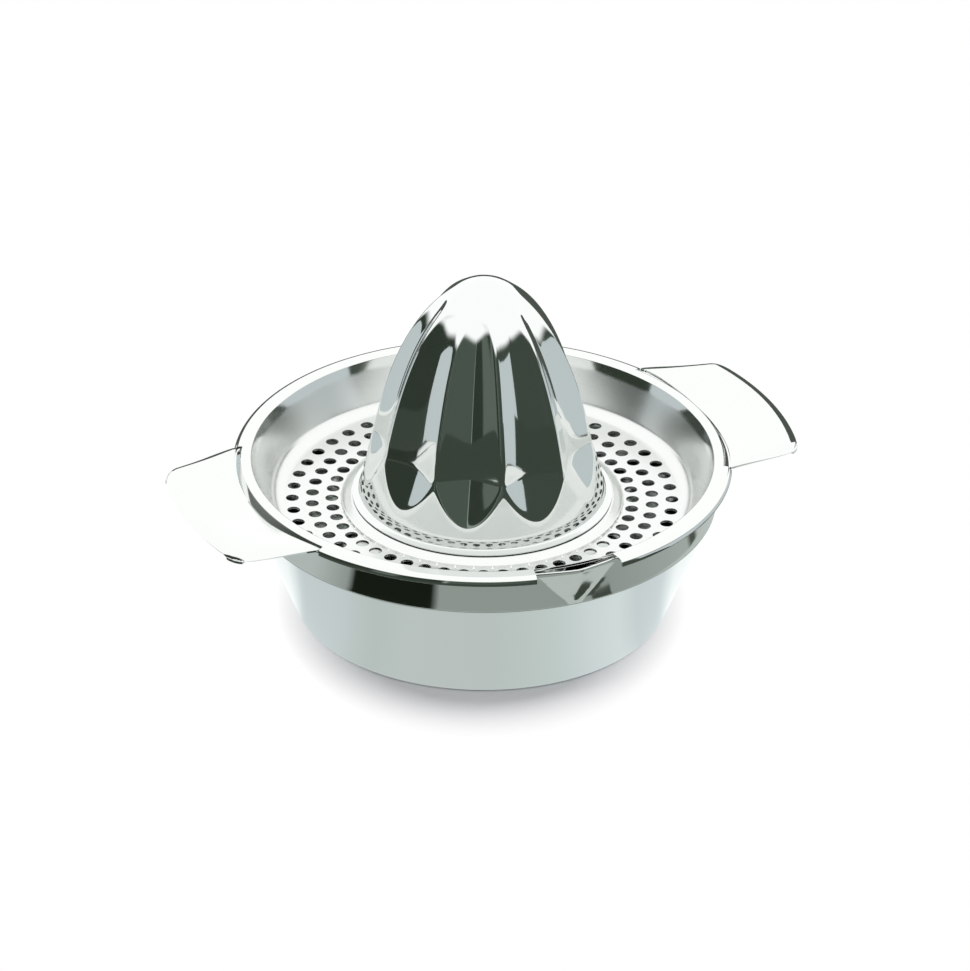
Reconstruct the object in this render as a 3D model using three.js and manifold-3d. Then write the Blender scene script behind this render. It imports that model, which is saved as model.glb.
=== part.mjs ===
// A hand citrus juicer in polished stainless sheet, in millimetres, +Z up.
// A fluted reamer stands on a perforated strainer with two wings, which lies in a bowl with a pouring beak.
// The origin is the middle of the flat face that the bowl stands on, the wings lie along X, the beak points to -Y.
import * as THREE from "three";
import { ConvexGeometry } from "three/addons/geometries/ConvexGeometry.js";
import { mergeGeometries, mergeVertices } from "three/addons/utils/BufferGeometryUtils.js";
import Module from "manifold-3d";

// The sheet that all pieces are drawn from, and the gap between pieces that lie on or beside each other.
const SHEET = 0.8;
const CLEARANCE = 0.3;

// Bowl: a cone up to a crease, then a nearly upright band with the beak pressed out of it.
const BASE_RADIUS = 55.9;
const BASE_CORNER = 3;
const CREASE_HEIGHT = 36;
const BAND_RADIUS = 71;
const BAND_HEIGHT = 12.4;
const BAND_FLARE = 0.3;
const BEAK_HALF_ANGLE = 12;
const BEAK_REACH = 3;
const BEAK_RISE = 0.8;

// Strainer: a flat rim with a lip turned down over the band, a leaning wall and a flat plate with rows of holes.
const WELL_PLAY = 0.8;
const WELL_DEPTH = 14.6;
const WELL_LEAN = 23.5;
const WELL_CORNER = 5;
const RIM_OVERHANG = 4.2;
const RIM_BEND = 1;
const LIP_BEND = 1.6;
const LIP_DROP = 2.3;
const NOTCH_HALF_ANGLE = 10.5;
const NOTCH_RING = 0.9;
const HOLE_ROWS = 3;
const HOLES_IN_ROW = 48;
const HOLE_DIAMETER = 3.9;
const INNER_ROW_MARGIN = 3.3;
const OUTER_ROW_MARGIN = 5.75;

// The raised seat of the plate that the reamer's foot stands on.
const SEAT_RISE = 2;
const SEAT_BEND = 1.4;
const SEAT_MARGIN = 0.5;
const SEAT_SLOPE = 2.4;
const SEAT_LAP = 5.1;

// Reamer: a hollow dome with a flared foot. Its radius is sqrt(1 - u) times a cubic of the height share u.
const REAMER_HEIGHT = 72.35;
const DOME_RADIUS = 37.5;
const DOME_SWELL_SHARES = [1, 0.029, 0.57, -0.398];
const FLARE_WIDTH = 1.7;
const FLARE_HEIGHT = 1.5;
const FLUTES = 10;
const FLUTE_TURN = 5.5;
const FLUTE_DEPTH_SHARE = 0.115;
const FLUTE_START = 7;
const FLUTE_FULL = 19.4;
const FLUTE_FADE_BELOW_TOP = 9;
const FLUTE_END_BELOW_TOP = 0.5;

// Wings: each takes the place of a stretch of the rim, steps down, rises outwards and ends in an edge that slopes down.
const WING_HALF_ANGLE = 26.8;
const WING_CUT = 2.2;
const WING_LENGTH = 20.8;
const WING_TIP_HALF_WIDTH = 29.6;
const WING_CORNER = 4;
const WING_LAND = 0.6;
const WING_LAND_BEND = 0.6;
const WING_STEP_RUN = 0.9;
const WING_STEP_DROP = 2.3;
const WING_STEP_BEND = 1;
const WING_CREST_DROP = 0.1;
const WING_CREST_BEND = 6;
const WING_EDGE_WIDTH = 3.6;
const WING_EDGE_DROP = 1.1;

// How far a cutter reaches past what it cuts, and how close two corners of a surface must be to be one.
const OVERRUN = 3;
const MERGE_DISTANCE = 1e-4;

// Fineness of the faceted surfaces.
const ROUND_SEGMENTS = 64;
const BEND_STEP = 40;
const HOLE_SIDES = 8;
const REAMER_SECTORS = FLUTES * 6;
const REAMER_RINGS = 16;

// Heights and radii that follow from the sizes above.
const creaseRadius = BAND_RADIUS - BAND_FLARE;
const bandTop = CREASE_HEIGHT + BAND_HEIGHT;
const rimTop = bandTop + CLEARANCE + SHEET;
const plateTop = rimTop - WELL_DEPTH;
const seatTop = plateTop + SEAT_RISE;
const footHeight = seatTop + CLEARANCE;
const footRadius = DOME_RADIUS + FLARE_WIDTH;
const rimRadius = BAND_RADIUS + RIM_OVERHANG;
const mouthRadius = BAND_RADIUS - SHEET - WELL_PLAY;
const wellFootRadius = mouthRadius - WELL_DEPTH * Math.tan(THREE.MathUtils.degToRad(WELL_LEAN));
const seatRadius = footRadius + SEAT_MARGIN;
const seatToeRadius = seatRadius + SEAT_SLOPE;
const wingRootRadius = rimRadius - WING_CUT;
const wingTipRadius = rimRadius + WING_LENGTH;

const wasm = await Module();
wasm.setup();

// A closed surface as a solid, with its shared corners merged and the faces that collapse at a pole left out.
function solid(geometry) {
  const bare = geometry.clone();
  bare.deleteAttribute("normal");
  bare.deleteAttribute("uv");
  const merged = mergeVertices(bare, MERGE_DISTANCE);
  const faces = [];
  for (let i = 0; i < merged.index.count; i += 3) {
    const [a, b, c] = [0, 1, 2].map((k) => merged.index.getX(i + k));
    if (a !== b && b !== c && c !== a) faces.push(a, b, c);
  }
  const vertProperties = merged.attributes.position.array;
  return new wasm.Manifold(new wasm.Mesh({ numProp: 3, vertProperties, triVerts: new Uint32Array(faces) }));
}

// A solid as a named mesh in polished steel.
function steelPiece(name, body, color, roughness) {
  const { vertProperties, triVerts } = body.getMesh();
  const geometry = new THREE.BufferGeometry();
  geometry.setAttribute("position", new THREE.BufferAttribute(vertProperties, 3));
  geometry.setIndex(new THREE.BufferAttribute(triVerts, 1));
  geometry.computeVertexNormals();
  const material = new THREE.MeshStandardMaterial({ color, roughness, metalness: 1, flatShading: true });
  const piece = new THREE.Mesh(geometry, material);
  piece.name = name;
  return piece;
}

// A point at a radius and at an azimuth in degrees from +X.
function polar(radius, degrees) {
  const angle = THREE.MathUtils.degToRad(degrees);
  return new THREE.Vector2(radius * Math.cos(angle), radius * Math.sin(angle));
}

// A line through corners [x, y, bend radius] in which each bend is an arc that touches both of its sides.
function bentLine(corners) {
  const at = corners.map(([x, y]) => new THREE.Vector2(x, y));
  return corners.flatMap(([, , bend], i) => {
    if (i === 0 || i === corners.length - 1 || !(bend > 0)) return [at[i]];
    const back = at[i - 1].clone().sub(at[i]).normalize();
    const on = at[i + 1].clone().sub(at[i]).normalize();
    const half = Math.acos(THREE.MathUtils.clamp(back.dot(on), -1, 1)) / 2;
    const centre = at[i].clone().add(back.clone().add(on).setLength(bend / Math.sin(half)));
    const start = at[i].clone().addScaledVector(back, bend / Math.tan(half)).sub(centre);
    const turn = (Math.PI - 2 * half) * Math.sign(on.cross(back));
    const steps = Math.ceil(THREE.MathUtils.radToDeg(Math.abs(turn)) / BEND_STEP);
    return Array.from({ length: steps + 1 }, (_, k) =>
      start.clone().rotateAround(new THREE.Vector2(), (turn * k) / steps).add(centre));
  });
}

// The same corners one sheet to the right of the line's direction, where a bend to the right is tighter.
function underCorners(corners) {
  const at = corners.map(([x, y]) => new THREE.Vector2(x, y));
  const right = at.slice(1).map((p, i) => {
    const along = p.clone().sub(at[i]).normalize();
    return new THREE.Vector2(along.y, -along.x);
  });
  return corners.map(([x, y, bend], i) => {
    const a = right[Math.max(i - 1, 0)];
    const b = right[Math.min(i, right.length - 1)];
    const shift = a.clone().add(b).multiplyScalar(SHEET / (1 + a.dot(b)));
    const tighter = a.cross(b) < 0 ? SHEET : -SHEET;
    return [x + shift.x, y + shift.y, bend > 0 ? Math.max(bend - tighter, 0) : 0];
  });
}

// A profile of radius and height turned round the Z axis.
function turned(profile) {
  return solid(new THREE.LatheGeometry(profile, ROUND_SEGMENTS).rotateX(Math.PI / 2));
}

// A ring of sheet whose upper face follows the corners, from its inner edge outwards.
function turnedSheet(corners) {
  const upper = bentLine(corners);
  const under = bentLine(underCorners(corners));
  return turned([...under, ...upper.reverse(), under[0]]);
}

// An upright prism on an outline in plan.
function prism(shape, bottom, top) {
  const geometry = new THREE.ExtrudeGeometry(shape, {
    depth: top - bottom,
    bevelEnabled: false,
    curveSegments: ROUND_SEGMENTS / 4,
  });
  return solid(geometry.translate(0, 0, bottom));
}

// A cutter through the rim, from a radius outwards, on both sides of an azimuth.
function rimSector(innerRadius, azimuth, halfAngle) {
  const from = THREE.MathUtils.degToRad(azimuth - halfAngle);
  const to = THREE.MathUtils.degToRad(azimuth + halfAngle);
  const shape = new THREE.Shape();
  shape.absarc(0, 0, rimRadius + OVERRUN, from, to, false);
  shape.absarc(0, 0, innerRadius, to, from, true);
  return prism(shape, rimTop - LIP_DROP - OVERRUN, rimTop + OVERRUN);
}

// The beak's wedge: two flat flanks that run from the band to an upright crest and end in a point at the crease.
// inset moves it inwards, and lift opens it upwards.
function beakWedge(inset, lift) {
  const ends = [-BEAK_HALF_ANGLE, BEAK_HALF_ANGLE].map((side) => polar(BAND_RADIUS - inset, side - 90));
  const tip = polar(BAND_RADIUS + BEAK_REACH - inset, -90);
  const point = polar(creaseRadius - inset, -90);
  const top = [
    ...ends.map((end) => new THREE.Vector3(end.x, end.y, bandTop)),
    new THREE.Vector3(tip.x, tip.y, bandTop + BEAK_RISE),
  ];
  const lifted = lift > 0 ? top.map((corner) => corner.clone().setZ(corner.z + lift)) : [];
  return solid(new ConvexGeometry([...top, ...lifted, new THREE.Vector3(point.x, point.y, CREASE_HEIGHT)]));
}

function bowl() {
  const corners = [
    [0, 0, 0],
    [BASE_RADIUS, 0, BASE_CORNER],
    [creaseRadius, CREASE_HEIGHT, 0],
    [BAND_RADIUS, bandTop, 0],
  ];
  const outside = bentLine(corners);
  const inside = bentLine([
    [0, SHEET, 0],
    ...insideCorners(corners),
    [BAND_RADIUS - SHEET, bandTop + OVERRUN, 0],
  ]);
  const body = turned([...outside, new THREE.Vector2(0, bandTop)]);
  const hollow = turned([...inside, new THREE.Vector2(0, bandTop + OVERRUN)]);
  return body.add(beakWedge(0, 0)).subtract(hollow).subtract(beakWedge(SHEET, OVERRUN));
}

// The bowl's inner corners between its middle and its top edge, one sheet inside the outer ones.
function insideCorners(corners) {
  const mirrored = corners.map(([x, y, bend]) => [-x, y, bend]);
  return underCorners(mirrored)
    .slice(1, -1)
    .map(([x, y, bend]) => [-x, y, bend]);
}

function strainer() {
  const dish = turnedSheet([
    [footRadius - SEAT_LAP, seatTop, 0],
    [seatRadius, seatTop, SEAT_BEND],
    [seatToeRadius, plateTop, SEAT_BEND],
    [wellFootRadius, plateTop, WELL_CORNER],
    [mouthRadius, rimTop, RIM_BEND],
    [rimRadius, rimTop, LIP_BEND],
    [rimRadius, rimTop - LIP_DROP, 0],
  ]);
  return dish
    .subtract(rimSector(mouthRadius + NOTCH_RING, -90, NOTCH_HALF_ANGLE))
    .subtract(rimSector(wingRootRadius, 0, WING_HALF_ANGLE))
    .subtract(rimSector(wingRootRadius, 180, WING_HALF_ANGLE))
    .subtract(holeCutters());
}

// One cutter for each hole. Every other row is turned by half the spacing of its holes.
function holeCutters() {
  const innerRow = seatToeRadius + INNER_ROW_MARGIN;
  const outerRow = wellFootRadius - OUTER_ROW_MARGIN;
  const bottom = plateTop - SHEET - OVERRUN;
  const height = rimTop - bottom;
  const spacing = 360 / HOLES_IN_ROW;
  const cutters = [];
  for (let row = 0; row < HOLE_ROWS; row++) {
    const radius = THREE.MathUtils.mapLinear(row, 0, HOLE_ROWS - 1, innerRow, outerRow);
    for (let hole = 0; hole < HOLES_IN_ROW; hole++) {
      const place = polar(radius, (hole + (row % 2) / 2) * spacing);
      const cutter = new THREE.CylinderGeometry(HOLE_DIAMETER / 2, HOLE_DIAMETER / 2, height, HOLE_SIDES);
      cutters.push(cutter.rotateX(Math.PI / 2).translate(place.x, place.y, bottom + height / 2));
    }
  }
  return solid(mergeGeometries(cutters));
}

// The dome's radius on its ridges, at a height above its foot.
function ridgeRadius(rise) {
  const u = rise / REAMER_HEIGHT;
  const swell = DOME_SWELL_SHARES.reduce((sum, share, power) => sum + share * u ** power, 0);
  const flare = FLARE_WIDTH * Math.max(1 - rise / FLARE_HEIGHT, 0) ** 2;
  return DOME_RADIUS * Math.sqrt(Math.max(1 - u, 0)) * swell + flare;
}

// How deep the flutes are in their middle, at a height above the foot: they fade out at both ends.
function fluteDepth(rise) {
  const below = REAMER_HEIGHT - rise;
  const start = THREE.MathUtils.smoothstep(rise, FLUTE_START, FLUTE_FULL);
  const end = THREE.MathUtils.smoothstep(below, FLUTE_END_BELOW_TOP, FLUTE_FADE_BELOW_TOP);
  return FLUTE_DEPTH_SHARE * ridgeRadius(rise) * start * end;
}

// The dome's surface moved inwards by an inset: rings from the foot up, and then the top. Flutes are parabolas
// in section with sharp ridges between them.
function reamerSurface(inset) {
  const points = [];
  for (let ring = 0; ring < REAMER_RINGS; ring++) {
    const share = (1 - Math.cos((Math.PI * ring) / REAMER_RINGS)) / 2;
    const rise = REAMER_HEIGHT * share;
    const step = REAMER_HEIGHT / REAMER_RINGS ** 2;
    const low = Math.max(rise - step, 0);
    const slope = new THREE.Vector2(ridgeRadius(rise + step) - ridgeRadius(low), rise + step - low).normalize();
    const height = Math.max(rise + slope.x * inset, 0);
    for (let sector = 0; sector < REAMER_SECTORS; sector++) {
      const across = ((sector / REAMER_SECTORS) * FLUTES) % 1;
      const flute = fluteDepth(rise) * (1 - (2 * across - 1) ** 2);
      const radius = ridgeRadius(rise) - flute - slope.y * inset;
      const place = polar(radius, FLUTE_TURN - 90 + (360 * sector) / REAMER_SECTORS - 180 / FLUTES);
      points.push(place.x, place.y, footHeight + height);
    }
  }
  points.push(0, 0, footHeight + REAMER_HEIGHT - inset);
  return points;
}

function reamer() {
  const outer = reamerSurface(0);
  const inner = reamerSurface(SHEET);
  const innerStart = outer.length / 3;
  const faces = [];
  for (let sector = 0; sector < REAMER_SECTORS; sector++) {
    const next = (sector + 1) % REAMER_SECTORS;
    for (let ring = 0; ring < REAMER_RINGS; ring++) {
      const a = ring * REAMER_SECTORS + sector;
      const b = ring * REAMER_SECTORS + next;
      const last = ring === REAMER_RINGS - 1;
      const c = last ? innerStart - 1 : b + REAMER_SECTORS;
      const d = last ? innerStart - 1 : a + REAMER_SECTORS;
      faces.push(a, b, c, innerStart + a, innerStart + c, innerStart + b);
      if (!last) faces.push(a, c, d, innerStart + a, innerStart + d, innerStart + c);
    }
    faces.push(sector, innerStart + sector, next, next, innerStart + sector, innerStart + next);
  }
  const geometry = new THREE.BufferGeometry();
  geometry.setAttribute("position", new THREE.Float32BufferAttribute([...outer, ...inner], 3));
  geometry.setIndex(faces);
  return solid(geometry);
}

// The right wing's outline in plan, with rounded far corners.
function wingOutline() {
  const halfAngle = WING_HALF_ANGLE - THREE.MathUtils.radToDeg(CLEARANCE / rimRadius);
  const inner = polar(wingRootRadius - OVERRUN, halfAngle);
  const root = polar(rimRadius, halfAngle);
  const tipAngle = Math.asin(WING_TIP_HALF_WIDTH / wingTipRadius);
  const bendAngle = tipAngle - WING_CORNER / wingTipRadius;
  const corner = polar(wingTipRadius, THREE.MathUtils.radToDeg(tipAngle));
  const before = corner.clone().add(root.clone().sub(corner).setLength(WING_CORNER));
  const after = polar(wingTipRadius, THREE.MathUtils.radToDeg(bendAngle));
  const shape = new THREE.Shape();
  shape.moveTo(inner.x, -inner.y);
  shape.lineTo(root.x, -root.y);
  shape.lineTo(before.x, -before.y);
  shape.quadraticCurveTo(corner.x, -corner.y, after.x, -after.y);
  shape.absarc(0, 0, wingTipRadius + OVERRUN, -bendAngle, bendAngle, false);
  shape.lineTo(after.x, after.y);
  shape.quadraticCurveTo(corner.x, corner.y, before.x, before.y);
  shape.lineTo(root.x, root.y);
  shape.lineTo(inner.x, inner.y);
  return shape;
}

function wing() {
  const start = wingRootRadius + CLEARANCE;
  const crestTop = rimTop - WING_CREST_DROP;
  const ring = turnedSheet([
    [start, rimTop, 0],
    [start + WING_LAND, rimTop, WING_LAND_BEND],
    [start + WING_LAND + WING_STEP_RUN, rimTop - WING_STEP_DROP, WING_STEP_BEND],
    [wingTipRadius - WING_EDGE_WIDTH, crestTop, WING_CREST_BEND],
    [wingTipRadius, crestTop - WING_EDGE_DROP, 0],
  ]);
  return ring.intersect(prism(wingOutline(), rimTop - WING_STEP_DROP - OVERRUN, rimTop + OVERRUN));
}

const juicer = new THREE.Group();
juicer.add(steelPiece("bowl", bowl(), 0xc5cdcc, 0.12));
const liftedOut = new THREE.Group();
liftedOut.add(steelPiece("strainer", strainer(), 0xe4e8e9, 0.1));
liftedOut.add(steelPiece("reamer", reamer(), 0xbcc4c6, 0.08));
liftedOut.add(steelPiece("handle_right", wing(), 0xeceff0, 0.1));
const leftWing = steelPiece("handle_left", wing(), 0xeceff0, 0.1);
leftWing.rotation.z = Math.PI;
liftedOut.add(leftWing);
juicer.add(liftedOut);

export default juicer;
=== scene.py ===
"""A hand citrus juicer in polished stainless sheet: a beaked bowl, a strainer with a reamer, and two wings.

Each piece is one surface worked out as arrays in millimetres, given the thickness of its sheet, and put in
place of its plain node. Lengths are millimetres until a mesh is made, and angles are degrees from +X seen
from above.
"""

import math

import bpy
import numpy as np
from mathutils import Matrix, Vector


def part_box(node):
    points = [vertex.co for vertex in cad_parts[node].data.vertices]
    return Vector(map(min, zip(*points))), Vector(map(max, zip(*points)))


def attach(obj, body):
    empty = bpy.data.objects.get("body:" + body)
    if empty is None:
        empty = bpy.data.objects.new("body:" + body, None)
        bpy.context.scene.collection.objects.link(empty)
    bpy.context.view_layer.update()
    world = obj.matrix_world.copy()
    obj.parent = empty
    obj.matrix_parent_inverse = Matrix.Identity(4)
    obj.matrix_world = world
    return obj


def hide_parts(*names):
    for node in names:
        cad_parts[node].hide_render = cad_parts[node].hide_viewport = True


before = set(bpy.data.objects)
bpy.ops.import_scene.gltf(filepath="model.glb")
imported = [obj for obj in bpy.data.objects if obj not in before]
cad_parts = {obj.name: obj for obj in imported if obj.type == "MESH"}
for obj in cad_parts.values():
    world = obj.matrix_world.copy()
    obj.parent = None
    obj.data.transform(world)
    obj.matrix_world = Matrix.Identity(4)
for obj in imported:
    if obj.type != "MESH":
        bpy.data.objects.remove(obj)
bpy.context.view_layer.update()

MM = 0.001
BEAK_AZIMUTH = -90.0
SHEET = 0.8
EDGE_ROUND = 0.14


def frame_mm(node, corner, axis):
    """A number of a node's box, in millimetres. corner is 0 for the lowest and 1 for the highest."""
    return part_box(node)[corner][axis] / MM


# What the frame says.
BAND_RADIUS = frame_mm("bowl", 1, 0)
BEAK_TIP_RADIUS = -frame_mm("bowl", 0, 1)
BEAK_TOP = frame_mm("bowl", 1, 2)
RIM_RADIUS = frame_mm("strainer", 1, 1)
RIM_TOP = frame_mm("strainer", 1, 2)
FOOT_HEIGHT = frame_mm("reamer", 0, 2)
DOME_TOP = frame_mm("reamer", 1, 2)
WING_REACH = frame_mm("handle_right", 1, 0)

# The bowl.
BASE_RADIUS = 55.9
BASE_CORNER = 3.0
CREASE_HEIGHT = 36.0
CREASE_BEND = 1.0
BAND_FLARE = 0.3
BAND_TOP = 48.4
BAND_EDGE_RISE = 0.35
BEAK_HALF_ANGLE = 12.0
BEAK_CREST_ROUND = 0.9
BEAK_FOOT_ROUND = 0.12
BEAK_ZONE = 15
BEAK_COLUMNS = 101
ROUND_COLUMNS = 261

# The strainer, from its middle outwards.
SEAT_BORE_RADIUS = 34.1
SEAT_TOP = 36.9
SEAT_RADIUS = 39.7
SEAT_TOE_RADIUS = 42.1
SEAT_BEND = 1.4
PLATE_TOP = 34.9
HOLE_ROWS = (45.4, 51.35, 57.3)
CELL_EDGES = (42.45, 48.375, 54.325, 59.7)
HOLES_IN_ROW = 48
HOLE_RADIUS = 1.95
HOLE_RINGS = (0, 0.14, 0.5, 1)
CELL_SIDE_STEPS = 4
PLATE_COLUMNS = 384
WELL_FOOT_RADIUS = 63.05
WELL_CORNER = 5.0
MOUTH_RADIUS = 69.7
RIM_BEND = 0.6
LIP_BEND = 2.0
LIP_BOTTOM = 47.2
NOTCH_HALF_ANGLE = 10.5
NOTCH_RADIUS = 70.15
WING_HALF_ANGLE = 26.8
WING_CUT_RADIUS = 72.1
RIM_EDGE_BEND = 0.6
RIM_EDGE_RUN = 1.5

# The reamer.
DOME_RADIUS = 37.5
DOME_SWELL = (1.0, 0.029, 0.57, -0.398)
COLLAR_TOP = 3.6
COLLAR_SLOPE = 0.1
COLLAR_ROUND = 0.12
FLANGE_EDGE = 0.3
FLANGE_HEIGHT = 1.1
FLANGE_RADIUS = 39.2
FLANGE_CURVE = 2.5
FLUTES = 10
FLUTE_AZIMUTH = -84.5
FLUTE_DEPTH_SHARE = 0.115
FLUTE_END_RISE = 7.6
FLUTE_FULL_RISE = 19.4
FLUTE_END_ROUND = 0.7
FLUTE_RUN_ROUND = 0.12
FLUTE_FADE_BELOW_TOP = 9.0
FLUTE_END_BELOW_TOP = 0.5
FLUTE_COLUMNS = 44
RIDGE_ROUND = 0.3

# Rings of the dome, as (from rise, to rise, how many), and then the rings that close its top.
DOME_RINGS = ((0, 0.3, 1), (0.3, 1.1, 8), (1.1, 5, 16), (5, 20, 50), (20, 45, 36), (45, 64, 38))
CAP_START = DOME_RINGS[-1][1]
CAP_RINGS = 30

# The wings.
WING_ROOT_RADIUS = 74.55
WING_TIP_HALF_WIDTH = 29.6
WING_CORNER = 4.0
WING_SIDE_GAP = 0.3
WING_FLOOR = 47.3
WING_CREST = 49.4
WING_CREST_BEND = 16.0
WING_VALLEY = 30.0
WING_EDGE_WIDTH = 3.6
WING_EDGE_DROP = (0.35, 1.6)
WING_DROP_LIMIT = 1.2
WING_COLUMNS = 121


def sheet_line(corners, spacing, arc_step=7.5):
    """Points and left-hand normals of a line through corners (x, y, bend radius), each bend an arc that
    touches both of its sides. Straights are cut into lengths of about spacing and arcs into steps of arc_step
    degrees."""
    at = np.array([c[:2] for c in corners], float)
    points, normals = [], []

    def straight(a, b):
        along = (b - a) / np.linalg.norm(b - a)
        steps = max(int(np.ceil(np.linalg.norm(b - a) / spacing)), 1)
        share = np.linspace(0, 1, steps + 1)[:, None]
        points.append(a + (b - a) * share)
        normals.append(np.tile((-along[1], along[0]), (steps + 1, 1)))

    start = at[0]
    for i in range(1, len(at) - 1):
        back = (at[i - 1] - at[i]) / np.linalg.norm(at[i - 1] - at[i])
        on = (at[i + 1] - at[i]) / np.linalg.norm(at[i + 1] - at[i])
        half = np.arccos(np.clip(back @ on, -1, 1)) / 2
        bend = corners[i][2]
        if bend <= 0:
            straight(start, at[i])
            start = at[i]
            continue
        first = at[i] + back * bend / np.tan(half)
        centre = at[i] + (back + on) / np.linalg.norm(back + on) * bend / np.sin(half)
        left = np.sign(back[1] * on[0] - back[0] * on[1])
        steps = max(int(np.ceil((180 - 2 * np.degrees(half)) / arc_step)), 2)
        turn = left * np.linspace(0, np.pi - 2 * half, steps + 1)
        straight(start, first)
        arm = first - centre
        cos, sin = np.cos(turn), np.sin(turn)
        arc = np.stack([arm[0] * cos - arm[1] * sin, arm[0] * sin + arm[1] * cos], 1)
        points.append(centre + arc)
        normals.append(-left * arc / bend)
        start = centre + arc[-1]
    straight(start, at[-1])
    p, n = np.concatenate(points), np.concatenate(normals)
    keep = np.r_[True, np.linalg.norm(np.diff(p, axis=0), axis=1) > 1e-6]
    return p[keep], n[keep]


def grid_faces(rows, columns, closed=True):
    """Quads of a grid of points that are numbered row by row, counter-clockwise where rows go outwards and
    columns go counter-clockwise."""
    across = columns if closed else columns - 1
    row, column = np.meshgrid(np.arange(rows - 1), np.arange(across), indexing="ij")
    here, after = row * columns + column, row * columns + (column + 1) % columns
    return np.stack([here, here + columns, after + columns, after], -1).reshape(-1, 4)


def fan(ring, middle, turned=False):
    """Triangles from a closed ring of points to its middle, as quads whose last two corners are equal."""
    first, second = ring, np.roll(ring, -1)
    if turned:
        first, second = second, first
    centre = np.full(len(ring), middle)
    return np.stack([first, second, centre, centre], -1)


def around(radius, azimuth, height):
    """Points at a radius, an azimuth in degrees and a height, as one array with x, y, z last."""
    radius, azimuth, height = np.broadcast_arrays(radius, np.radians(azimuth), height)
    return np.stack([radius * np.cos(azimuth), radius * np.sin(azimuth), height], -1)


def merged(points, normals, faces):
    """The same surface with points that lie within a hundred-thousandth of a millimetre made one. This can
    leave a face with equal corners, which piece makes one."""
    _, first, inverse = np.unique(np.round(points, 5), axis=0, return_index=True, return_inverse=True)
    return points[first], normals[first], inverse.reshape(-1)[faces]


def thickened(points, normals, faces, thickness):
    """A closed wall: the surface, the same surface moved against its normals by the thickness and turned
    round, and a strip along each edge that only one face has."""
    count = len(points)
    sides = np.stack([faces, np.roll(faces, -1, axis=1)], -1).reshape(-1, 2)
    _, inverse, times = np.unique(np.sort(sides, axis=1), axis=0, return_inverse=True, return_counts=True)
    a, b = sides[(times[inverse.reshape(-1)] == 1) & (sides[:, 0] != sides[:, 1])].T
    strip = np.stack([b, a, a + count, b + count], -1)
    return (
        np.concatenate([points, points - thickness * normals]),
        np.concatenate([faces, faces[:, ::-1] + count, strip]),
    )


def placed(name, data):
    """A new object of the scene."""
    made = bpy.data.objects.new(name, data)
    bpy.context.scene.collection.objects.link(made)
    return made


def piece(name, points, faces, body, node, sharp=35.0):
    """A smooth mesh piece in place of a node, riding on its body. Equal corners of a face become one."""
    tidy = []
    for face in faces.tolist():
        corners = [v for i, v in enumerate(face) if v != face[i - 1]]
        if len(corners) > 2:
            tidy.append(corners)
    mesh = bpy.data.meshes.new(name)
    mesh.from_pydata((np.asarray(points) * MM).tolist(), [], tidy)
    mesh.polygons.foreach_set("use_smooth", np.ones(len(mesh.polygons), bool))
    mesh.set_sharp_from_angle(angle=math.radians(sharp))
    mesh.validate()
    made = placed(name, mesh)
    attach(made, body)
    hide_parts(node)
    return made


def round_edges(made, width=EDGE_ROUND):
    """Rounds the sheared edges of a sheet, and keeps its flat faces flat to the eye."""
    bevel = made.modifiers.new("sheared_edges", "BEVEL")
    bevel.width = width * MM
    bevel.segments = 2
    bevel.limit_method = "ANGLE"
    bevel.angle_limit = math.radians(50)
    bevel.use_clamp_overlap = True
    flat = made.modifiers.new("flat_faces", "WEIGHTED_NORMAL")
    flat.keep_sharp = True
    flat.weight = 80


def smooth_step(value, start, end):
    """0 before start, 1 after end, and a cubic ease in between."""
    share = np.clip((value - start) / (end - start), 0, 1)
    return share * share * (3 - 2 * share)


def soft_max(a, b, size):
    """The larger of two lengths, with the corner where they are equal rounded over about that size."""
    gap = np.clip(size - np.abs(a - b), 0, None)
    return np.maximum(a, b) + gap * gap / (4 * size)


def beaked(radius, azimuth, height):
    """Radius and height of the bowl's wall with the beak pressed out. At each height above the crease the
    beak is a V of two straight flanks in plan, whose reach and half-angle grow evenly with the height, and
    its lip rises."""
    share = np.clip((height - CREASE_HEIGHT) / (BAND_TOP - CREASE_HEIGHT), 0, 1.15)
    reach = (BEAK_TIP_RADIUS - BAND_RADIUS) * share
    half = np.radians(np.maximum(BEAK_HALF_ANGLE * share, 0.05))
    off = np.radians((azimuth - BEAK_AZIMUTH + 180) % 360 - 180)
    rounded = np.sqrt(off**2 + np.radians(BEAK_CREST_ROUND) ** 2) - np.radians(BEAK_CREST_ROUND) * 0.6
    tip = radius + reach
    across = radius * np.sin(half)
    along = radius * np.cos(half)
    flank = tip / (np.cos(rounded) + np.sin(rounded) * (tip - along) / across)
    flank = np.where((np.abs(off) < 1.4 * half) & (share > 0), flank, 0)
    pressed = soft_max(radius, flank, BEAK_FOOT_ROUND * np.clip(share * 4, 0.05, 1))
    lift = (BEAK_TOP - BAND_TOP) * np.clip((pressed - radius) / (BEAK_TIP_RADIUS - BAND_RADIUS), 0, 1)
    return pressed, height + lift * smooth_step(share, 0.2, 1)


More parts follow.
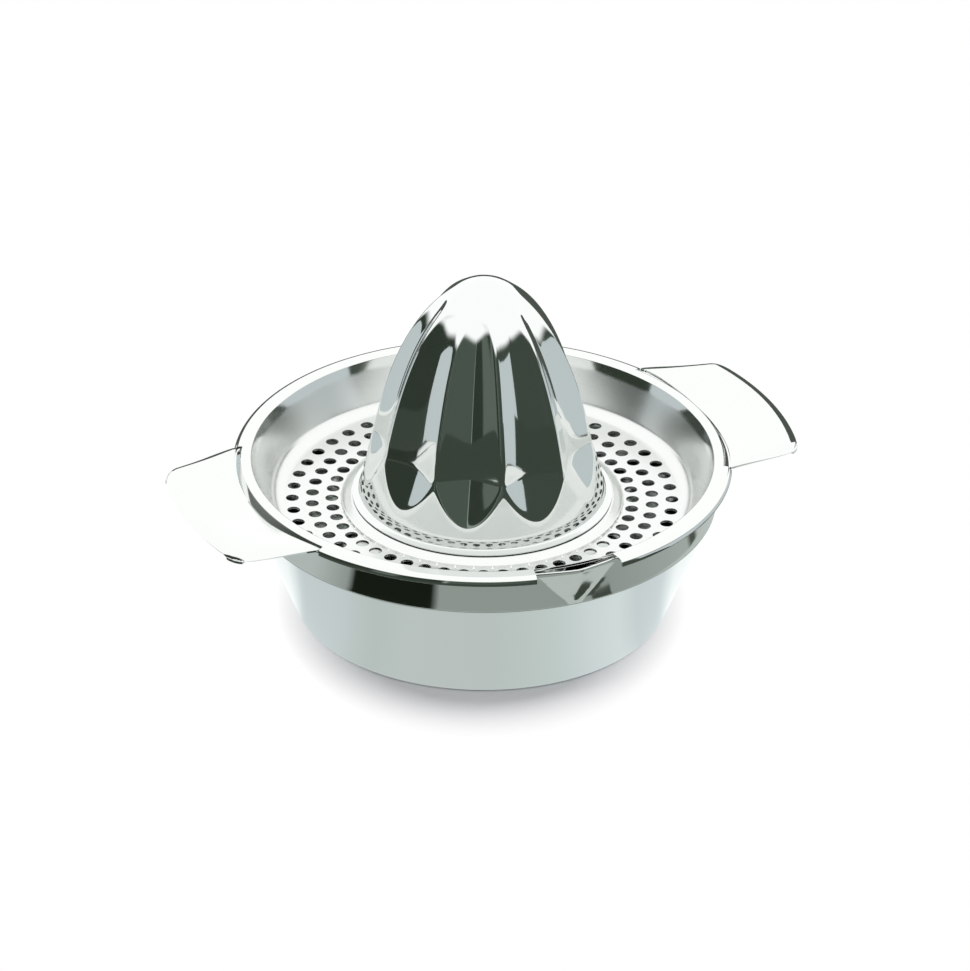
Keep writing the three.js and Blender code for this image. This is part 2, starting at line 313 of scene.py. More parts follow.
def make_bowl():
    """A cone on a flat base with a rounded corner, then a nearly upright band with the beak and a round top
    edge. The outer line is turned round the axis, and the inner one lies one sheet inside it."""
    line, normal = sheet_line(
        [
            (0, 0, 0),
            (BASE_RADIUS, 0, BASE_CORNER),
            (BAND_RADIUS - BAND_FLARE, CREASE_HEIGHT, CREASE_BEND),
            (BAND_RADIUS, BAND_TOP, 0),
        ],
        spacing=1.6,
    )
    middle = line[:, 0] < BASE_RADIUS - 2 * BASE_CORNER
    keep = ~middle | (np.arange(len(line)) % 6 == 0)
    line, normal = line[keep], normal[keep]
    near = np.linspace(-BEAK_ZONE, BEAK_ZONE, BEAK_COLUMNS)
    far = np.linspace(BEAK_ZONE, 360 - BEAK_ZONE, ROUND_COLUMNS)[1:-1]
    azimuth = np.concatenate([near, far]) + BEAK_AZIMUTH
    outer_r, outer_z = line[1:, 0], line[1:, 1]
    inner = line + SHEET * normal
    inner_r, inner_z = inner[:0:-1, 0], inner[:0:-1, 1]
    turn = np.linspace(0, np.pi, 9)[1:-1]
    edge_r = BAND_RADIUS - SHEET / 2 + SHEET / 2 * np.cos(turn)
    edge_z = BAND_TOP + 0 * turn
    edge_up = BAND_EDGE_RISE * np.sin(turn)
    loop_r = np.concatenate([outer_r, edge_r, inner_r])[:, None]
    loop_z = np.concatenate([outer_z, edge_z, inner_z])[:, None]
    up = np.concatenate([0 * outer_r, edge_up, 0 * inner_r])[:, None]
    r, z = beaked(loop_r, azimuth[None, :], loop_z)
    points = around(r, azimuth[None, :], z + up - BAND_EDGE_RISE * (loop_z >= BAND_TOP - 1e-6))
    rows, columns = points.shape[:2]
    faces = grid_faces(rows, columns)
    points = np.concatenate([points.reshape(-1, 3), [[0, 0, 0], [0, 0, SHEET]]])
    ring = np.arange(columns)
    last = (rows - 1) * columns
    low = fan(ring, rows * columns)
    high = fan(last + ring, rows * columns + 1, turned=True)
    faces = np.concatenate([faces, low, high])
    return piece("bowl_shell", points, faces, "bowl_body", "bowl")


def hole_cells(columns):
    """The perforated part of the plate. Each hole has a cell whose sides lie on the plate's own columns and
    on circles midway between the rows. Rings of points lead from the hole to the cell's sides, at the shares
    of the way that HOLE_RINGS gives."""
    step = 360 / columns
    per_hole = columns // HOLES_IN_ROW
    sides = CELL_SIDE_STEPS
    all_points = []
    for row, radius in enumerate(HOLE_ROWS):
        low, high = CELL_EDGES[row], CELL_EDGES[row + 1]
        first = (row % 2) * per_hole // 2 - per_hole // 2
        along = np.arange(per_hole)
        up = np.arange(sides)
        index = np.concatenate([along, np.full(sides, per_hole), per_hole - along, np.zeros(sides)])
        rise = np.concatenate([np.zeros(per_hole), up / sides, np.ones(per_hole), 1 - up / sides])
        hole = np.arange(HOLES_IN_ROW)[:, None]
        side_azimuth = ((index[None, :] + first + hole * per_hole) % columns) * step
        outer = around(low + (high - low) * rise[None, :], side_azimuth, PLATE_TOP)
        centre = around(radius, (hole * per_hole + first + per_hole / 2) * step, PLATE_TOP)
        arm = outer - centre
        rim = centre + arm / np.linalg.norm(arm, axis=-1, keepdims=True) * HOLE_RADIUS
        shares = np.array(HOLE_RINGS)[None, :, None, None]
        all_points.append(rim[:, None] + (outer - rim)[:, None] * shares)
    points = np.concatenate(all_points)
    cells, rings, around_hole = points.shape[:3]
    one = grid_faces(rings, around_hole)[:, ::-1]
    faces = (one[None] + (np.arange(cells) * rings * around_hole)[:, None, None]).reshape(-1, 4)
    return points.reshape(-1, 3), faces


def make_strainer():
    """A plate with a raised seat, a leaning wall, a flat rim and a lip: its upper line is turned round the
    axis. Columns bend to the sides of the notch and of the wings' places, where the rim's outer faces are
    left out."""
    columns = PLATE_COLUMNS
    base = np.arange(columns) * 360 / columns
    notch = (270 - NOTCH_HALF_ANGLE, 270 + NOTCH_HALF_ANGLE)
    left = (180 - WING_HALF_ANGLE, 180 + WING_HALF_ANGLE)
    right = (360 - WING_HALF_ANGLE, WING_HALF_ANGLE)
    cuts = sorted([*notch, *left, *right])
    nearest = [round(cut * columns / 360) for cut in cuts]
    fixed = np.interp(np.arange(columns), [-columns + nearest[-1], *nearest, columns + nearest[0]],
                      [-360 + cuts[-1], *cuts, 360 + cuts[0]])

    seat, seat_normal = sheet_line(
        [(SEAT_BORE_RADIUS, SEAT_TOP, 0), (SEAT_RADIUS, SEAT_TOP, SEAT_BEND),
         (SEAT_TOE_RADIUS, PLATE_TOP, SEAT_BEND), (CELL_EDGES[0], PLATE_TOP, 0)], spacing=2, arc_step=11)
    wall, wall_normal = sheet_line(
        [(CELL_EDGES[-1], PLATE_TOP, 0), (WELL_FOOT_RADIUS, PLATE_TOP, WELL_CORNER),
         (MOUTH_RADIUS, RIM_TOP, RIM_BEND), (NOTCH_RADIUS, RIM_TOP, 0), (WING_CUT_RADIUS, RIM_TOP, 0),
         (RIM_RADIUS, RIM_TOP, LIP_BEND), (RIM_RADIUS, LIP_BOTTOM, 0)], spacing=1.8, arc_step=9)

    def turned(line, normal, azimuth):
        place = around(line[:, :1], azimuth, line[:, 1:])
        facing = around(normal[:, :1], azimuth, normal[:, 1:])
        return place.reshape(-1, 3), facing.reshape(-1, 3)

    bent = smooth_step(wall[:, 1:], PLATE_TOP + 3, RIM_TOP - 1)
    wall_azimuth = base[None, :] * (1 - bent) + fixed[None, :] * bent
    wall_points, wall_normals = turned(wall, wall_normal, wall_azimuth)
    seat_points, seat_normals = turned(seat, seat_normal, base[None, :])
    cell_points, cell_faces = hole_cells(columns)

    wall_faces = grid_faces(len(wall), columns)
    row = np.repeat(np.arange(len(wall) - 1), columns)
    column = np.tile(np.arange(columns), len(wall) - 1)
    past_notch = wall[row, 0] > NOTCH_RADIUS - 1e-6
    past_wing = wall[row, 0] > WING_CUT_RADIUS - 1e-6
    order = dict(zip(cuts, nearest))
    notch, left, right = ([order[cut] for cut in pair] for pair in (notch, left, right))
    in_notch = (column >= notch[0]) & (column < notch[1])
    in_left = (column >= left[0]) & (column < left[1])
    in_right = (column < right[1]) | (column >= right[0])
    wall_faces = wall_faces[~((past_notch & in_notch) | (past_wing & (in_left | in_right)))]

    def turned_down(first, last):
        """The rim's edge over a wing, bent down along the columns from first to last."""
        edge, edge_normal = sheet_line(
            [(WING_CUT_RADIUS, RIM_TOP, 0), (WING_CUT_RADIUS + RIM_EDGE_BEND, RIM_TOP, RIM_EDGE_BEND),
             (WING_CUT_RADIUS + RIM_EDGE_BEND + RIM_EDGE_RUN, WING_FLOOR, 0)], spacing=0.4, arc_step=9)
        azimuth = fixed[np.arange(first, last + 1) % columns][None, :]
        place, facing = turned(edge, edge_normal, azimuth)
        return place, facing, grid_faces(len(edge), last - first + 1, closed=False)

    patches = [
        (seat_points, seat_normals, grid_faces(len(seat), columns)),
        (cell_points, np.tile((0.0, 0.0, 1.0), (len(cell_points), 1)), cell_faces),
        (wall_points, wall_normals, wall_faces),
        turned_down(*left),
        turned_down(right[0], right[1] + columns),
    ]
    starts = np.cumsum([0] + [len(place) for place, _, _ in patches[:-1]])
    points = np.concatenate([place for place, _, _ in patches])
    normals = np.concatenate([facing for _, facing, _ in patches])
    faces = np.concatenate([own + start for (_, _, own), start in zip(patches, starts)])
    points, normals, faces = merged(points, normals, faces)
    used = np.unique(faces)
    renumber = np.full(len(points), -1)
    renumber[used] = np.arange(len(used))
    points, faces = thickened(points[used], normals[used], renumber[faces], SHEET)
    made = piece("strainer_dish", points, faces, "strainer_body", "strainer")
    round_edges(made)
    return made


def natural_radius(rise):
    """The dome's radius on its ridges: the root of the share of the height that is left above, times a cubic
    of the share below."""
    u = np.clip(rise / (DOME_TOP - FOOT_HEIGHT), 0, 1)
    return DOME_RADIUS * np.sqrt(1 - u) * sum(c * u**power for power, c in enumerate(DOME_SWELL))


def dome_radius(rise, azimuth):
    """The fluted dome. Below its collar the body is steeper, and each flute, a parabola in plan that fades
    out towards the top, runs out through the body's surface at a constant slope, so its end is a pointed
    arch upside down."""
    pitch = 360 / FLUTES
    across = (azimuth - FLUTE_AZIMUTH + pitch / 2) % pitch / pitch * 2 - 1
    natural = natural_radius(rise)
    soft = RIDGE_ROUND / np.maximum(np.pi * natural / FLUTES, 1)
    side = np.sqrt((1 - np.abs(across)) ** 2 + soft**2) - soft
    section = 1 - (1 - np.minimum(side, 1)) ** 2
    below = DOME_TOP - FOOT_HEIGHT - rise
    depth = FLUTE_DEPTH_SHARE * natural * smooth_step(below, FLUTE_END_BELOW_TOP, FLUTE_FADE_BELOW_TOP)
    run = (FLUTE_FULL_RISE - rise) / (FLUTE_FULL_RISE - FLUTE_END_RISE)
    flute = natural - depth * (section - soft_max(run, 0 * run, FLUTE_RUN_ROUND))
    collar = natural_radius(COLLAR_TOP) + COLLAR_SLOPE * (COLLAR_TOP - rise)
    body = -soft_max(-natural, -collar, COLLAR_ROUND)
    return -soft_max(-body, -flute, FLUTE_END_ROUND)


def dome_surface(rise, azimuth, inset):
    """The dome moved inwards, or with its flange where it isn't."""
    radius = dome_radius(rise, azimuth)
    if inset == 0:
        flange = np.clip(1 - (rise - FLANGE_EDGE) / (FLANGE_HEIGHT - FLANGE_EDGE), 0, 1) ** FLANGE_CURVE
        return around(radius + (FLANGE_RADIUS - radius) * flange, azimuth, FOOT_HEIGHT + rise)
    step = 0.05
    low = np.maximum(rise - step, 0)
    high = np.minimum(rise + step, DOME_TOP - FOOT_HEIGHT)
    slope = np.stack(np.broadcast_arrays(natural_radius(high) - natural_radius(low), high - low))
    slope = slope / np.linalg.norm(slope, axis=0)
    return around(radius - slope[1] * inset, azimuth, FOOT_HEIGHT + np.maximum(rise + slope[0] * inset, 0))


def make_reamer():
    """The dome and its inner face one sheet inside, joined at the foot. Rings are closer where the flutes
    run out."""
    height = DOME_TOP - FOOT_HEIGHT
    pitch = 360 / FLUTES
    across = np.linspace(-0.5, 0.5, FLUTE_COLUMNS + 1)[None, :-1]
    azimuth = (FLUTE_AZIMUTH + pitch * (np.arange(FLUTES)[:, None] + across)).reshape(-1)
    rise = np.concatenate([np.linspace(a, b, n + 1)[:-1] for a, b, n in DOME_RINGS])
    below_top = (height - CAP_START) * np.linspace(1, 0, CAP_RINGS + 1)[:-1] ** 2
    rise = np.concatenate([rise, height - below_top])
    outer = dome_surface(rise[:, None], azimuth[None, :], 0)
    inner_rise = np.concatenate([[0], rise[10::8]])
    inner = dome_surface(inner_rise[:, None], azimuth[None, :], SHEET)
    rings, columns = len(rise), len(azimuth)
    tops = [[0, 0, DOME_TOP], [0, 0, DOME_TOP - SHEET]]
    points = np.concatenate([outer.reshape(-1, 3), inner.reshape(-1, 3), tops])
    start = rings * columns
    outer_faces = grid_faces(rings, columns)[:, ::-1]
    inner_faces = grid_faces(len(inner_rise), columns) + start
    ring = np.arange(columns)
    after = (ring + 1) % columns
    last, last_inner = (rings - 1) * columns, start + (len(inner_rise) - 1) * columns
    top, top_inner = len(points) - 2, len(points) - 1
    cap = fan(last + ring, top)
    cap_inner = fan(last_inner + ring, top_inner, turned=True)
    foot = np.stack([start + ring, start + after, after, ring], -1)
    faces = np.concatenate([outer_faces, inner_faces, cap, cap_inner, foot])
    return piece("reamer_dome", points, faces, "strainer_body", "reamer", sharp=60)


def make_wing(name, node, side):
    """A wing that comes out from under the rim's turned-down edge in a shallow valley, which rises outwards
    and to both sides. Along its three free edges the sheet bends down in a parabola that grows deeper
    outwards. The width narrows evenly from the root and is rounded off over the last stretch of the line.
    It narrows evenly with x, which depends on the half-angle, so the half-angle is found by repeating."""
    line, _ = sheet_line(
        [(WING_ROOT_RADIUS, WING_FLOOR, 0),
         (WING_REACH - WING_EDGE_WIDTH, WING_CREST, WING_CREST_BEND), (WING_REACH, WING_CREST, 0)],
        spacing=0.5, arc_step=9)
    gone = np.concatenate([[0], np.cumsum(np.linalg.norm(np.diff(line, axis=0), axis=1))])
    root_half = WING_HALF_ANGLE - np.degrees(WING_SIDE_GAP / RIM_RADIUS)
    root_x, root_y = RIM_RADIUS * np.cos(np.radians(root_half)), RIM_RADIUS * np.sin(np.radians(root_half))
    tip_x = np.sqrt(WING_REACH**2 - WING_TIP_HALF_WIDTH**2)
    flat_radius = line[:, 0]
    half = np.radians(np.full(len(line), root_half))
    for _ in range(20):
        y = root_y + (WING_TIP_HALF_WIDTH - root_y) * (flat_radius * np.cos(half) - root_x) / (tip_x - root_x)
        half = np.where(flat_radius > RIM_RADIUS, np.arcsin(y / flat_radius), np.radians(root_half))
    left = np.clip(WING_CORNER - (gone[-1] - gone), 0, WING_CORNER)
    pulled = WING_CORNER - np.sqrt(WING_CORNER**2 - left**2)
    half = half - pulled / flat_radius
    across = np.sin(np.linspace(-np.pi / 2, np.pi / 2, WING_COLUMNS))[None, :]
    turn = 0 if side > 0 else 180
    azimuth = turn + np.degrees(half)[:, None] * across
    inside = (1 - np.abs(across)) * (half * flat_radius)[:, None]
    to_side = np.clip(1 - inside / WING_EDGE_WIDTH, 0, None)
    to_end = np.clip(1 - (WING_REACH - flat_radius) / WING_EDGE_WIDTH, 0, None)[:, None]
    share = smooth_step(flat_radius, WING_ROOT_RADIUS, WING_REACH - WING_EDGE_WIDTH)[:, None]
    drop = WING_EDGE_DROP[0] + (WING_EDGE_DROP[1] - WING_EDGE_DROP[0]) * share
    bend = drop * np.clip(to_side**2 + to_end**2, 0, WING_DROP_LIMIT)
    side_rise = np.clip(WING_CREST - line[:, 1:], 0, None) * (1 - smooth_step(inside, 0, WING_VALLEY))
    grid = around(line[:, :1], azimuth, line[:, 1:] + side_rise - bend)
    facing = np.cross(np.gradient(grid, axis=0), np.gradient(grid, axis=1))
    points = grid.reshape(-1, 3)
    normals = (facing / np.linalg.norm(facing, axis=-1, keepdims=True)).reshape(-1, 3)
    faces = grid_faces(len(line), WING_COLUMNS, closed=False)
    points, faces = thickened(points, normals, faces, SHEET)
    made = piece(name, points, faces, "strainer_body", node)
    round_edges(made)
    return made


def linear(code):
    """An sRGB hex colour as linear red, green, blue and alpha."""
    parts = [int(code[i:i + 2], 16) / 255 for i in (1, 3, 5)]
    return [p / 12.92 if p <= 0.04045 else ((p + 0.055) / 1.055) ** 2.4 for p in parts] + [1.0]


def add_node(tree, kind, settings=None, links=None):
    """Adds a node. settings are its own values or its sockets' by name or number, and links run from
    (node, output) to an input."""
    made = tree.nodes.new(kind)
    for name, value in (settings or {}).items():
        if isinstance(name, int) or name in made.inputs:
            made.inputs[name].default_value = value
        else:
            setattr(made, name, value)
    for name, (source, output) in (links or {}).items():
        tree.links.new(source.outputs[output], made.inputs[name])
    return made


def new_material(name):
    """A new material, and its tree without nodes."""
    material = bpy.data.materials.new(name)
    material.use_nodes = True
    material.node_tree.nodes.clear()
    return material, material.node_tree


def polished_stainless(name, colour, roughness, satin=None):
    """Rolled stainless sheet, drawn and then mirror-polished on a wheel: a nearly clear mirror, whose gloss
    is broken by faint wheel lines that run round the axis, by a soft waviness of the drawn sheet and by
    smudges. satin is the roughness and the radius of a middle that was left as it came from the drawing
    press."""
    material, tree = new_material(name)
    place = add_node(tree, "ShaderNodeTexCoord")
    smudge = add_node(tree, "ShaderNodeTexNoise", {"Scale": 1 / (24 * MM), "Detail": 3.0, "Roughness": 0.55},
                      {"Vector": (place, "Object")})
    gloss = add_node(tree, "ShaderNodeMapRange", {"From Min": 0.35, "From Max": 0.7, "To Min": roughness,
                                                  "To Max": roughness * 1.8}, {"Value": (smudge, "Fac")})
    wave = add_node(tree, "ShaderNodeTexNoise", {"Scale": 1 / (30 * MM), "Detail": 1.0},
                    {"Vector": (place, "Object")})
    split = add_node(tree, "ShaderNodeSeparateXYZ", links={"Vector": (place, "Object")})
    flat = add_node(tree, "ShaderNodeCombineXYZ", links={"X": (split, "X"), "Y": (split, "Y")})
    radius = add_node(tree, "ShaderNodeVectorMath", {"operation": "LENGTH"}, {0: (flat, "Vector")})
    if satin:
        satin_roughness, satin_radius = satin
        where = add_node(tree, "ShaderNodeMapRange",
                         {"From Min": (satin_radius - SATIN_FADE) * MM, "From Max": satin_radius * MM,
                          "To Min": satin_roughness, "To Max": 0.0}, {"Value": (radius, "Value")})
        gloss = add_node(tree, "ShaderNodeMath", {"operation": "MAXIMUM"},
                         {0: (gloss, "Result"), 1: (where, "Result")})
    lines_at = add_node(tree, "ShaderNodeCombineXYZ", links={"X": (radius, "Value"), "Y": (split, "Z")})
    lines = add_node(tree, "ShaderNodeTexNoise", {"Scale": 1 / (0.5 * MM), "Detail": 2.0},
                     {"Vector": (lines_at, "Vector")})
    dent = add_node(tree, "ShaderNodeBump", {"Strength": 0.35, "Distance": 0.00012},
                    {"Height": (wave, "Fac")})
    scratch = add_node(tree, "ShaderNodeBump", {"Strength": 0.04, "Distance": 0.00002},
                       {"Height": (lines, "Fac"), "Normal": (dent, "Normal")})
    steel = add_node(tree, "ShaderNodeBsdfPrincipled", {"Base Color": linear(colour), "Metallic": 1.0},
                     {"Roughness": (gloss, 0), "Normal": (scratch, "Normal")})
    add_node(tree, "ShaderNodeOutputMaterial", links={"Surface": (steel, "BSDF")})
    return material


SATIN_FADE = 0.8

# The camera: its turn to the left of the beak in degrees, and its elevation and roll in radians.
VIEW_TURN = 23.2
CAMERA_AZIMUTH = -90 - VIEW_TURN
CAMERA_ELEVATION = 0.511038
CAMERA_ROLL = 0.009948
CAMERA_DISTANCE = 3016.36
CAMERA_TARGET = (0.816, 0, 39.38)
FOCAL_PIXELS = 10000
FRAME_PIXELS = 971

# The studio. The paper's oval is given by its half axes, and its fade starts at a share of them.
CARD_STRENGTH = 1.25
PAPER_OVAL = (62.0, 83.0)
PAPER_FADE = 0.74
FLOOR_HALF_SIDE = 6000
LEVEL_ON_MATT = 0.75
LAMP_SIZE_M = 1.0
LAMP_WATTS = 14
LAMP_HEIGHT_M = 1.5
CARD_COLUMNS = 121
WALL_COLUMNS = 241
WALL_ROWS = 41
WALL_MIDDLE = 50

# The dark side of the room: its height in degrees and its shades, by azimuth from the camera's side.
ROOM_TOPS = [(-140, 0), (-120, 10), (-90, 25), (-60, 37), (-45, 40), (20, 40), (45, 36), (60, 34),
             (90, 18), (135, 0)]
ROOM_SHADES = [(-140, "#2E362E"), (-48, "#2E362E"), (-46, "#59625A"), (-37, "#59625A"), (-35, "#2E362E"),
               (-15, "#2E362E"), (-14, "#48524A"), (20, "#48524A"), (22, "#3C453D"), (135, "#3C453D")]

# Painted reflections, all by azimuth from the camera's side, on sheets that only mirrors see: the colours
# painted for the bowl's cone to mirror, paler at the sides and darker in the middle, the near edge (azimuth,
# radius) of the sheet that paints the dark reflection on the right lip, and the colours painted for the
# bowl's band to mirror.
PAINTED_CONE_REFLECTION = [(-180, "#EEF2F2"), (-85, "#EEF2F2"), (-79, "#DCE3E4"), (-74, "#C4CBCD"), (-52, "#C1CACB"),
               (-38, "#B8C0BD"), (-25, "#BCC3C1"), (5, "#BAC1BF"), (26, "#C1CBC9"), (39, "#CDD5D6"),
               (50, "#D3DCDB"), (60, "#C6CED0"), (74, "#CAD1D4"), (79, "#DCE3E4"), (85, "#EEF2F2"),
               (180, "#EEF2F2")]
LIP_REFLECTION_EDGE = [(72, 146), (84, 141.2), (92, 137.9), (103, 132.8), (115, 126.3), (123, 122), (134, 115.6)]
PAINTED_BAND_REFLECTION = [(-90, "#B0B6B4"), (-67, "#B0B6B4"), (-49, "#8A908C"), (-48, "#151B12"), (-16, "#151B12"),
               (-15, "#8E9590"), (50, "#8E9590"), (85, "#A0A6A2"), (92, "#A0A6A2"), (93, "#4A504A"),
               (97, "#4A504A"), (98, "#B0B6B4")]


def make_camera():
    """A long lens at the photograph's angle: 29.3 degrees above the table, to the left of the beak."""
    elevation, roll = CAMERA_ELEVATION, CAMERA_ROLL
    forward = np.array([0, math.cos(elevation), -math.sin(elevation)])
    up = np.array([0, math.sin(elevation), math.cos(elevation)])
    right = np.array([1.0, 0, 0])
    right, up = right * math.cos(roll) + up * math.sin(roll), up * math.cos(roll) - right * math.sin(roll)
    turn = Matrix.Rotation(math.radians(-VIEW_TURN), 4, "Z")
    axes = Matrix([[right[i], up[i], -forward[i]] for i in range(3)]).to_4x4()
    data = bpy.data.cameras.new("camera")
    data.sensor_width = 36
    data.lens = FOCAL_PIXELS / FRAME_PIXELS * data.sensor_width
    data.clip_start, data.clip_end = 0.05, 50
    camera = placed("camera", data)
    stand = np.array(CAMERA_TARGET) - CAMERA_DISTANCE * forward
    camera.matrix_world = turn @ Matrix.Translation(Vector(stand * MM)) @ axes
    bpy.context.scene.camera = camera


def card_paint():
    """The cards' plain light in the colour that is painted on them, the same from all sides."""
    material, tree = new_material("card_paint")
    paint = add_node(tree, "ShaderNodeAttribute", {"attribute_name": "paint"})
    light = add_node(tree, "ShaderNodeEmission", {"Strength": CARD_STRENGTH}, {"Color": (paint, "Color")})
    add_node(tree, "ShaderNodeOutputMaterial", links={"Surface": (light, "Emission")})
    return material


def reflected_only(name, points, colours):
    """A grid of points, made a surface that only mirrors see. Each point has a colour, or each column."""
    rows, columns = points.shape[:2]
    faces = grid_faces(rows, columns, closed=False)
    mesh = bpy.data.meshes.new(name)
    mesh.from_pydata((points.reshape(-1, 3) * MM).tolist(), [], faces.tolist())
    paint = mesh.color_attributes.new("paint", "FLOAT_COLOR", "POINT")
    colours = np.ascontiguousarray(np.broadcast_to(colours, (rows, columns, 4)), np.float32)
    paint.data.foreach_set("color", colours.reshape(-1))
    mesh.materials.append(bpy.data.materials.get("card_paint") or card_paint())
    made = placed(name, mesh)
    made.visible_camera = False
    made.visible_diffuse = False
    made.visible_shadow = False
    made.visible_transmission = False
    return made


def shaded(azimuths, shades):
    """Linear colours at azimuths, between shades that are given as (azimuth, hex colour)."""
    at = [azimuth for azimuth, _ in shades]
    known = np.array([linear(colour) for _, colour in shades])
    return np.stack([np.interp(azimuths, at, known[:, channel]) for channel in range(4)], -1)


def wall_card(name, tops, bottom, distance, shades, soft=0.0):
    """A patch of a sphere round the object, from an elevation up to tops that are given as (azimuth,
    elevation), whose last soft degrees fade to white. Azimuths are from the camera's side, positive to the
    right."""
    azimuth = np.linspace(tops[0][0], tops[-1][0], WALL_COLUMNS)
    top = np.interp(azimuth, *np.array(tops, float).T)
    elevation = bottom + (top - bottom) * np.linspace(0, 1, WALL_ROWS)[:, None]
    out, up = distance * np.cos(np.radians(elevation)), distance * np.sin(np.radians(elevation))
    points = around(out, CAMERA_AZIMUTH + azimuth[None, :], up) + [0, 0, WALL_MIDDLE]
    kept = smooth_step(top - elevation, 0, soft)[..., None] if soft else 1.0
    return reflected_only(name, points, shaded(azimuth, shades) * kept + (1 - kept))


def floor_card(name, azimuths, radii, height, shades):
    """A sector of a ring just over the floor, between two radii that are numbers or arrays over its columns.
    Azimuths are from the camera's side, positive to the right."""
    azimuth = np.linspace(*azimuths, CARD_COLUMNS)
    radius = np.array([np.broadcast_to(r, azimuth.shape) for r in radii], float)
    points = around(radius, CAMERA_AZIMUTH + azimuth[None, :], height)
    return reflected_only(name, points, shaded(azimuth, shades))


def standing_card(name, azimuths, radius, heights, shades):
    """An upright card on a part of a circle round the object, between two heights."""
    azimuth = np.linspace(*azimuths, CARD_COLUMNS)
    points = around(radius, CAMERA_AZIMUTH + azimuth[None, :], np.array(heights, float)[:, None])
    return reflected_only(name, points, shaded(azimuth, shades))


def white_paper():
    """The floor: an oval of matt white paper under the object, which fades into the white background for the
    camera."""
    material, tree = new_material("white_paper")
    place = add_node(tree, "ShaderNodeTexCoord")
    scale = (1 / (PAPER_OVAL[0] * MM), 1 / (PAPER_OVAL[1] * MM), 1)
    oval = add_node(tree, "ShaderNodeMapping", {"Rotation": (0, 0, math.radians(VIEW_TURN))},
                    {"Vector": (place, "Object")})
    oval = add_node(tree, "ShaderNodeVectorMath", {"operation": "MULTIPLY", 1: scale}, {0: (oval, "Vector")})
    radius = add_node(tree, "ShaderNodeVectorMath", {"operation": "LENGTH"}, {0: (oval, "Vector")})
    far = add_node(tree, "ShaderNodeMapRange", {"From Min": PAPER_FADE, "From Max": 1.0},
                   {"Value": (radius, "Value")})
    path = add_node(tree, "ShaderNodeLightPath")
    share = add_node(tree, "ShaderNodeMath", {"operation": "MULTIPLY"},
                     {0: (far, "Result"), 1: (path, "Is Camera Ray")})
    paper = add_node(tree, "ShaderNodeBsdfDiffuse", {"Color": linear("#F1F0F4"), "Roughness": 0.0})
    white = add_node(tree, "ShaderNodeEmission", {"Color": (1, 1, 1, 1), "Strength": 1.0})
    both = add_node(tree, "ShaderNodeMixShader",
                    links={0: (share, "Value"), 1: (paper, "BSDF"), 2: (white, "Emission")})
    add_node(tree, "ShaderNodeOutputMaterial", links={"Surface": (both, "Shader")})
    return material


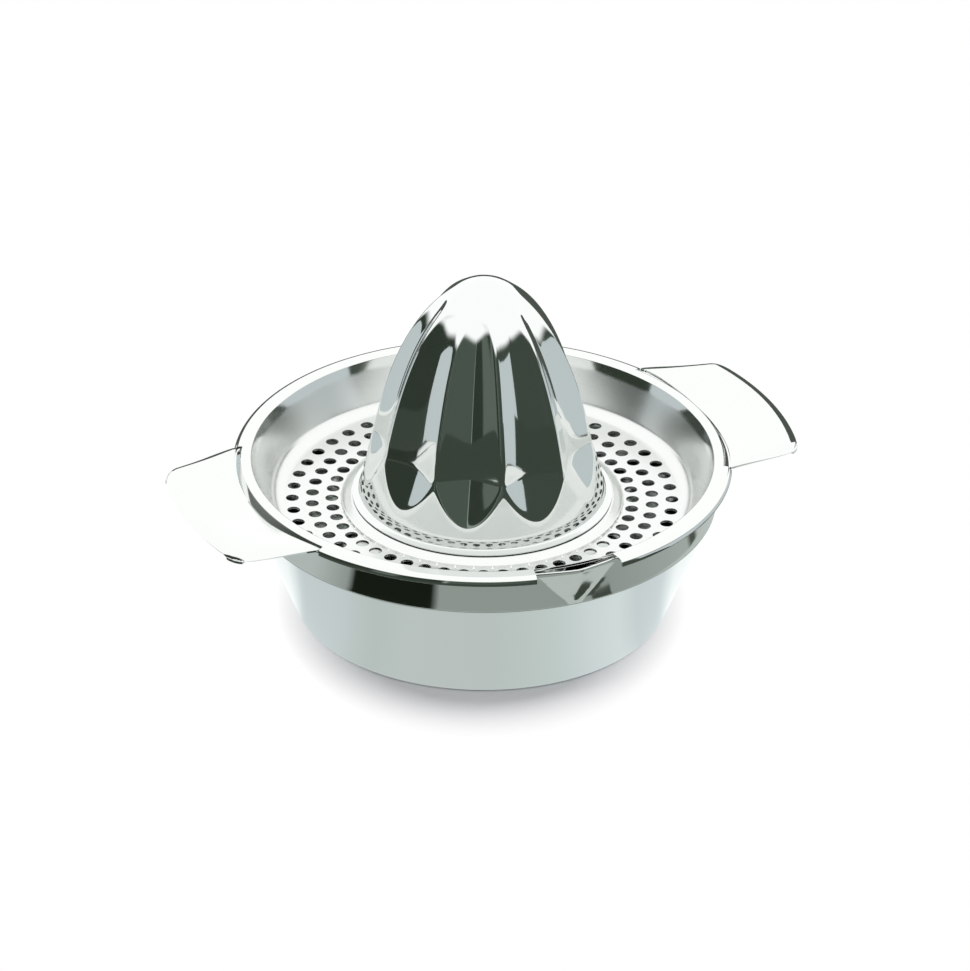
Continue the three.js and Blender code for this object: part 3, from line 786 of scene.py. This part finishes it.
def make_studio():
    """A paper floor, a white room, a wide soft lamp overhead, cards for the dark side of the room, and sheets
    that only mirrors see, which paint reflections on the bowl's cone, crease, beak, band and lip.
    """
    scene = bpy.context.scene
    scene.view_settings.view_transform = "Standard"
    world = bpy.data.worlds.new("white_room")
    scene.world = world
    world.use_nodes = True
    tree = world.node_tree
    tree.nodes.clear()
    path = add_node(tree, "ShaderNodeLightPath")
    seen = add_node(tree, "ShaderNodeMath", {"operation": "MAXIMUM"},
                    {0: (path, "Is Camera Ray"), 1: (path, "Is Glossy Ray")})
    seen = add_node(tree, "ShaderNodeMath", {"operation": "MAXIMUM"},
                    {0: (seen, "Value"), 1: (path, "Is Transmission Ray")})
    level = add_node(tree, "ShaderNodeMapRange", {"To Min": LEVEL_ON_MATT, "To Max": 1.0},
                     {"Value": (seen, "Value")})
    back = add_node(tree, "ShaderNodeBackground", {"Color": (1, 1, 1, 1)}, {"Strength": (level, "Result")})
    add_node(tree, "ShaderNodeOutputWorld", links={"Surface": (back, "Background")})

    side = FLOOR_HALF_SIDE * MM
    corners = [(-side, -side, 0), (side, -side, 0), (side, side, 0), (-side, side, 0)]
    mesh = bpy.data.meshes.new("floor")
    mesh.from_pydata(corners, [], [(0, 1, 2, 3)])
    floor = placed("floor", mesh)
    mesh.materials.append(white_paper())

    lamp = bpy.data.lights.new("overhead_softbox", "AREA")
    lamp.shape = "SQUARE"
    lamp.size = LAMP_SIZE_M
    lamp.energy = LAMP_WATTS
    overhead = placed("overhead_softbox", lamp)
    overhead.location = (0, 0, LAMP_HEIGHT_M)
    overhead.visible_camera = False
    overhead.visible_glossy = False

    plain = [(0, "#FFFFFF")]
    dark = [(0, "#3A423A")]
    pale = [(0, "#BCC4C6")]
    wall_card("white_room", [(-180, 89.9), (180, 89.9)], -3, 1300, plain)
    wall_card("dark_room", ROOM_TOPS, -8, 1200, ROOM_SHADES, soft=5)
    wall_card("bright_slit", [(-16, 38), (-14, 38)], -8, 1190, [(0, "#8A928A")])
    wall_card("pale_wall_left", [(-140, -7.9), (-120, 3), (-105, 10), (-95, 12), (-90, 12)], -8, 1150, pale)
    right_tops = [(70, 21), (84, 12), (105, 8), (115, 4), (130, -3), (150, -7.9)]
    wall_card("pale_wall_right", right_tops, -8, 1150, pale)
    standing_card("dark_card_behind", (130, 222), 220, (0, 106), [(0, "#4A504A")])
    floor_card("dark_table_behind", (130, 222), (105, 220), 0.7, dark)
    # Painted dark reflection on the right lip: a dark sheet that only mirrors see, its near edge following
    # where the lip mirrors.
    lip_azimuth = np.linspace(72, 134, CARD_COLUMNS)
    lip_near = np.interp(lip_azimuth, *np.array(LIP_REFLECTION_EDGE).T)
    floor_card("painted_dark_reflection_lip_right", (72, 134), (lip_near, lip_near + 8), 0.9, [(0, "#2E362E")])
    # Painted dark reflection on the lip's face at the front: a dark ring that only mirrors see.
    floor_card("painted_dark_reflection_lip", (-90, 75), (148, 170), 0.6, [(0, "#4A4F4A")])
    floor_card("dark_table", (-90, 75), (170, 1230), 0.6, dark)
    floor_card("pale_table_right", (75, 150), (148, 1230), 0.6, pale)
    floor_card("pale_table_left", (-140, -90), (148, 1230), 0.6, pale)
    # Painted reflection on the bowl's cone: a sheet that only mirrors see, paler at the sides and darker in
    # the middle.
    floor_card("painted_reflection_cone", (-180, 180), (55.4, 83), 0.5, PAINTED_CONE_REFLECTION)
    # Painted reflections: a dark ring that only mirrors see paints a dark line along the bowl's crease, and a
    # pale ring paints the beak's flanks.
    floor_card("painted_dark_line_crease", (-180, 180), (83, 96), 0.5, dark)
    floor_card("painted_reflection_beak", (-180, 180), (96, 113), 0.5, [(0, "#B4BAB6")])
    # Painted reflections on the bowl's band: a ring of shades and a dark patch on sheets that only mirrors
    # see.
    floor_card("painted_reflection_band", (-180, 180), (113, 148), 0.5, PAINTED_BAND_REFLECTION)
    floor_card("painted_dark_patch_band", (40.5, 48.5), (113, 127), 0.8, [(0, "#3F453F")])


make_camera()
make_studio()
bowl = make_bowl()
strainer = make_strainer()
reamer = make_reamer()
wings = [make_wing("wing_right", "handle_right", 1), make_wing("wing_left", "handle_left", -1)]
FINISHES = {
    "bowl_shell": ("polished_stainless_bowl", "#E2E5E3", 0.05),
    "strainer_dish": ("polished_stainless_strainer", "#E4E6E4", 0.06, (0.22, MOUTH_RADIUS - 0.8)),
    "reamer_dome": ("polished_stainless_reamer", "#E2E5E3", 0.04),
    "wing_right": ("polished_stainless_wing", "#E4E6E4", 0.05),
}
made_finishes = {name: polished_stainless(*values) for name, values in FINISHES.items()}
for made in (bowl, strainer, reamer, *wings):
    made.data.materials.append(made_finishes.get(made.name, made_finishes["wing_right"]))
